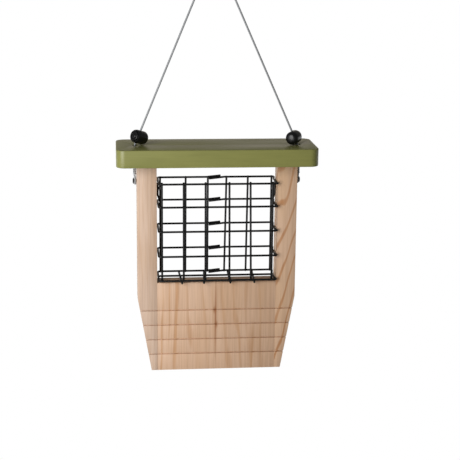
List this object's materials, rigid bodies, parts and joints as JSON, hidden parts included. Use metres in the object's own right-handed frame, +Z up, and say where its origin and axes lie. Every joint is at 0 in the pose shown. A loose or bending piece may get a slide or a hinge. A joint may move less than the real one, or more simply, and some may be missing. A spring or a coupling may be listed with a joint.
{
  "type": "hanging suet feeder",
  "caption": "Hanging suet feeder: pine board with a window and grooved tapered tail, loose painted roof, steel hanger cable with push-button cord locks, black wire cage.",
  "frame": {"origin": "underside of the hanger cable's top bend, where a hook carries the feeder", "axes": "+Z up, +Y from the feeder's front to its back, +X to the right as seen from the front"},
  "size_m": [0.2004, 0.0685, 0.4195],
  "materials": {
    "pine": "planed, unfinished",
    "green_paint": "painted, matt olive green",
    "coated_wire": "black plastic coating on steel wire",
    "cable": "thin stranded steel cable in a clear coat",
    "ferrule": "crimped",
    "screws": "dark plated",
    "spring": "bright spring wire",
    "lock_plastic": "satin black moulding"
  },
  "bodies": {
    "board": {"left_upright": "pine", "right_upright": "pine", "tail_panel": "pine", "cage_ring_1": "coated_wire", "cage_ring_2": "coated_wire", "cage_ring_3": "coated_wire", "cage_ring_4": "coated_wire", "cage_ring_5": "coated_wire", "cage_front_bar_1": "coated_wire", "cage_front_bar_2": "coated_wire", "cage_front_bar_3": "coated_wire", "cage_front_bar_4": "coated_wire", "cage_front_bar_5": "coated_wire", "cage_front_bar_6": "coated_wire", "cage_back_bar_1": "coated_wire", "cage_back_bar_2": "coated_wire", "cage_back_bar_3": "coated_wire", "cage_back_bar_4": "coated_wire", "cage_back_bar_5": "coated_wire", "cage_back_bar_6": "coated_wire", "cage_floor_bar_1": "coated_wire", "cage_floor_bar_2": "coated_wire", "cage_floor_bar_3": "coated_wire", "cage_floor_bar_4": "coated_wire", "cage_floor_cross_bar": "coated_wire", "cage_left_stay": "coated_wire", "cage_right_stay": "coated_wire", "left_ferrule": "ferrule", "right_ferrule": "ferrule", "left_eye_screw": "screws", "right_eye_screw": "screws", "left_cage_screw": "screws", "right_cage_screw": "screws", "hanger_cable": "cable"},
    "roof": {"roof": "green_paint"},
    "left_lock": {"left_lock_body": "lock_plastic", "left_lock_spring": "spring"},
    "left_plunger": {"left_lock_plunger": "lock_plastic"},
    "right_lock": {"right_lock_body": "lock_plastic", "right_lock_spring": "spring"},
    "right_plunger": {"right_lock_plunger": "lock_plastic"}
  },
  "joints": [
    {"name": "roof_lift", "type": "slide", "parent": "board", "child": "roof", "axis": [0, 0, 1], "range_m": [0, 0.08], "deforming": ["hanger_cable"]},
    {"name": "left_lock_slide", "type": "slide", "parent": "roof", "child": "left_lock", "axis": [0.3831, 0, 0.9237], "range_m": [0, 0.02]},
    {"name": "right_lock_slide", "type": "slide", "parent": "roof", "child": "right_lock", "axis": [-0.4117, 0, 0.9113], "range_m": [0, 0.02]},
    {"name": "left_plunger_press", "type": "slide", "parent": "left_lock", "child": "left_plunger", "axis": [0.7052, 0.6458, -0.2925], "range_m": [0, 0.002], "stiffness_N_per_m": 500, "springref_m": -0.001, "deforming": ["left_lock_spring"]},
    {"name": "right_plunger_press", "type": "slide", "parent": "right_lock", "child": "right_plunger", "axis": [-0.4994, -0.8649, -0.0499], "range_m": [0, 0.002], "stiffness_N_per_m": 500, "springref_m": -0.001, "deforming": ["right_lock_spring"]}
  ]
}
